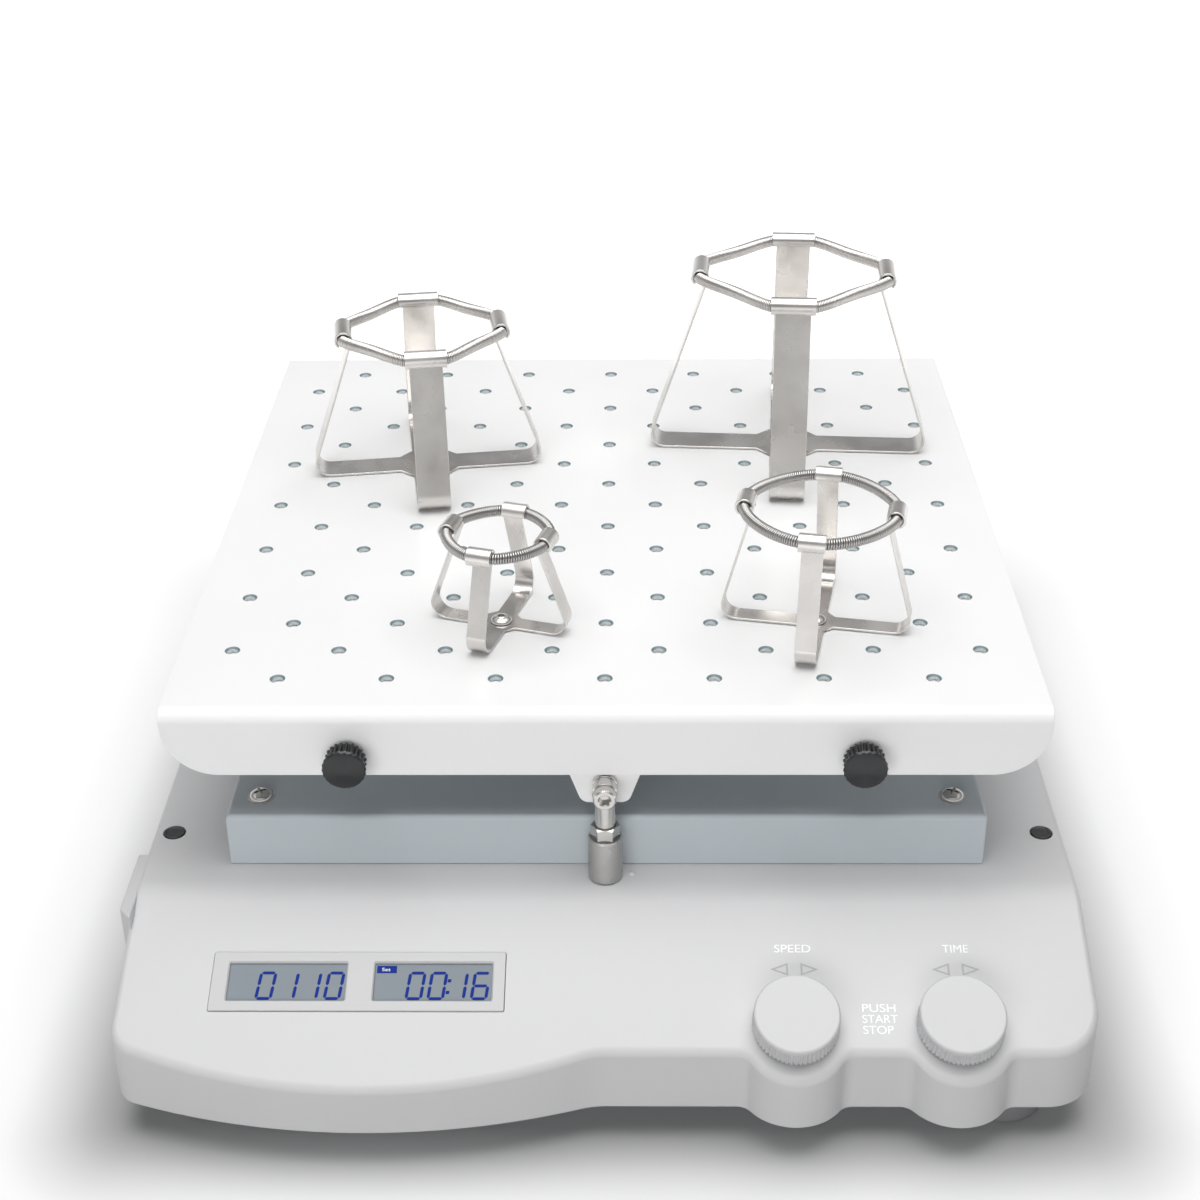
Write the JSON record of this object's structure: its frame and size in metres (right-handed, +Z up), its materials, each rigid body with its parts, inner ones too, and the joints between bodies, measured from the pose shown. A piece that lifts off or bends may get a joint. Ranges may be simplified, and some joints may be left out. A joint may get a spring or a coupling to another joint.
{
  "type": "rocking shaker",
  "caption": "Bench rocking shaker: a perforated platform with sprung flask clamps tilts from side to side over a low housing with displays and push knobs, driven by a crank.",
  "frame": {"origin": "on the bench, under the middle of the housing's width and depth, at the bottom of the feet", "axes": "+Z up, -Y towards the user (the control panel's side), +X to the user's right; the platform rocks about a line along Y"},
  "size_m": [0.3539, 0.4255, 0.2204],
  "materials": {
    "housing": "finely textured light grey moulding",
    "display_frame": "light grey frame round the displays",
    "white_coat": "near-white satin coat on folded sheet",
    "grey_coat": "blue-grey satin coat on folded sheet",
    "steel": "plain machined steel",
    "bright_steel": "bright nickel plate",
    "clamp_steel": "brushed stainless strip",
    "spring_steel": "bright drawn stainless wire",
    "black_plastic": "black moulding",
    "thumb_black": "black moulded grip on a steel screw",
    "rubber": "grey rubber foot",
    "knob": "light grey knob with a fluted rim",
    "lcd": "reflective liquid crystal display, blue-grey, digits off or on",
    "board": "green circuit board",
    "brass": "machined brass",
    "belt": "black belt"
  },
  "bodies": {
    "base": {"base_housing": "housing", "base_plate": "grey_coat", "display_frame": "display_frame", "display_left": "lcd", "display_right": "lcd", "control_board": "board", "speed_encoder": "steel", "time_encoder": "steel", "mechanism_cover": "grey_coat", "front_post": "bright_steel", "rear_post": "bright_steel", "front_lock_nut": "bright_steel", "rear_lock_nut": "bright_steel", "front_pivot_rod": "bright_steel", "rear_pivot_rod": "bright_steel", "drive_motor": "black_plastic", "motor_bracket": "steel", "drive_belt": "belt", "bearing_housing": "steel", "power_inlet": "black_plastic", "power_switch_frame": "black_plastic", "foot_front_left": "rubber", "deck_plug_front_left": "black_plastic", "foot_front_right": "rubber", "deck_plug_front_right": "black_plastic", "foot_rear_left": "rubber", "deck_plug_rear_left": "black_plastic", "foot_rear_right": "rubber", "deck_plug_rear_right": "black_plastic"},
    "platform": {"platform_carrier": "white_coat", "platform_plate": "white_coat", "drive_fork": "steel", "front_pivot_screw": "bright_steel", "rear_pivot_screw": "bright_steel", "front_pivot_washer": "bright_steel", "rear_pivot_washer": "bright_steel", "clamp_500ml": "clamp_steel", "spring_500ml": "spring_steel", "clamp_250ml": "clamp_steel", "spring_250ml": "spring_steel", "clamp_100ml": "clamp_steel", "spring_100ml": "spring_steel", "clamp_25ml": "clamp_steel", "spring_25ml": "spring_steel"},
    "crank": {"crank_shaft": "steel", "crank_pulley": "black_plastic", "crank_roller": "brass"},
    "motor_rotor": {"motor_pulley": "steel"},
    "speed_push": {"speed_push_actuator": "black_plastic"},
    "speed_knob": {"speed_knob": "knob", "speed_knob_shaft": "steel"},
    "time_push": {"time_push_actuator": "black_plastic"},
    "time_knob": {"time_knob": "knob", "time_knob_shaft": "steel"},
    "rocker_switch": {"power_rocker": "black_plastic"},
    "thumb_front_left": {"thumb_screw_front_left": "thumb_black"},
    "thumb_front_right": {"thumb_screw_front_right": "thumb_black"},
    "thumb_rear_left": {"thumb_screw_rear_left": "thumb_black"},
    "thumb_rear_right": {"thumb_screw_rear_right": "thumb_black"}
  },
  "joints": [
    {"name": "platform_rock", "type": "hinge", "parent": "base", "child": "platform", "pos_m": [0, 0.036, 0.103], "axis": [0, 1, 0], "range_deg": [-9, 9]},
    {"name": "crank_turn", "type": "hinge", "parent": "base", "child": "crank", "pos_m": [0, 0.036, 0.065], "axis": [0, 0, 1], "range_deg": [-90.5, 90.5]},
    {"name": "motor_turn", "type": "hinge", "parent": "base", "child": "motor_rotor", "pos_m": [0.088, 0.036, 0.05], "axis": [0, 0, 1], "range_deg": [-302, 302]},
    {"name": "speed_push", "type": "slide", "parent": "base", "child": "speed_push", "axis": [0, 0.3746, -0.9272], "range_m": [0, 0.0008], "stiffness_N_per_m": 800, "springref_m": -0.001},
    {"name": "speed_turn", "type": "hinge", "parent": "speed_push", "child": "speed_knob", "pos_m": [0.067, -0.18922, 0.04455], "axis": [0, -0.3746, 0.9272], "continuous": true},
    {"name": "time_push", "type": "slide", "parent": "base", "child": "time_push", "axis": [0, 0.3746, -0.9272], "range_m": [0, 0.0008], "stiffness_N_per_m": 800, "springref_m": -0.001},
    {"name": "time_turn", "type": "hinge", "parent": "time_push", "child": "time_knob", "pos_m": [0.1245, -0.18922, 0.04455], "axis": [0, -0.3746, 0.9272], "continuous": true},
    {"name": "thumb_turn_front_left", "type": "hinge", "parent": "platform", "child": "thumb_front_left", "pos_m": [-0.093, -0.127, 0.1165], "axis": [0, -1, 0], "continuous": true},
    {"name": "thumb_turn_front_right", "type": "hinge", "parent": "platform", "child": "thumb_front_right", "pos_m": [0.093, -0.127, 0.1165], "axis": [0, -1, 0], "continuous": true},
    {"name": "thumb_turn_rear_left", "type": "hinge", "parent": "platform", "child": "thumb_rear_left", "pos_m": [-0.093, 0.199, 0.1165], "axis": [0, 1, 0], "continuous": true},
    {"name": "thumb_turn_rear_right", "type": "hinge", "parent": "platform", "child": "thumb_rear_right", "pos_m": [0.093, 0.199, 0.1165], "axis": [0, 1, 0], "continuous": true},
    {"name": "power_switch_rock", "type": "hinge", "parent": "base", "child": "rocker_switch", "pos_m": [-0.1732, -0.1326, 0.05265], "axis": [0, 0, 1], "range_deg": [-16, 0]}
  ],
  "couplings": [
    {"joint": "crank_turn", "follows": "platform_rock", "ratio": -10},
    {"joint": "motor_turn", "follows": "platform_rock", "ratio": -33.333}
  ]
}
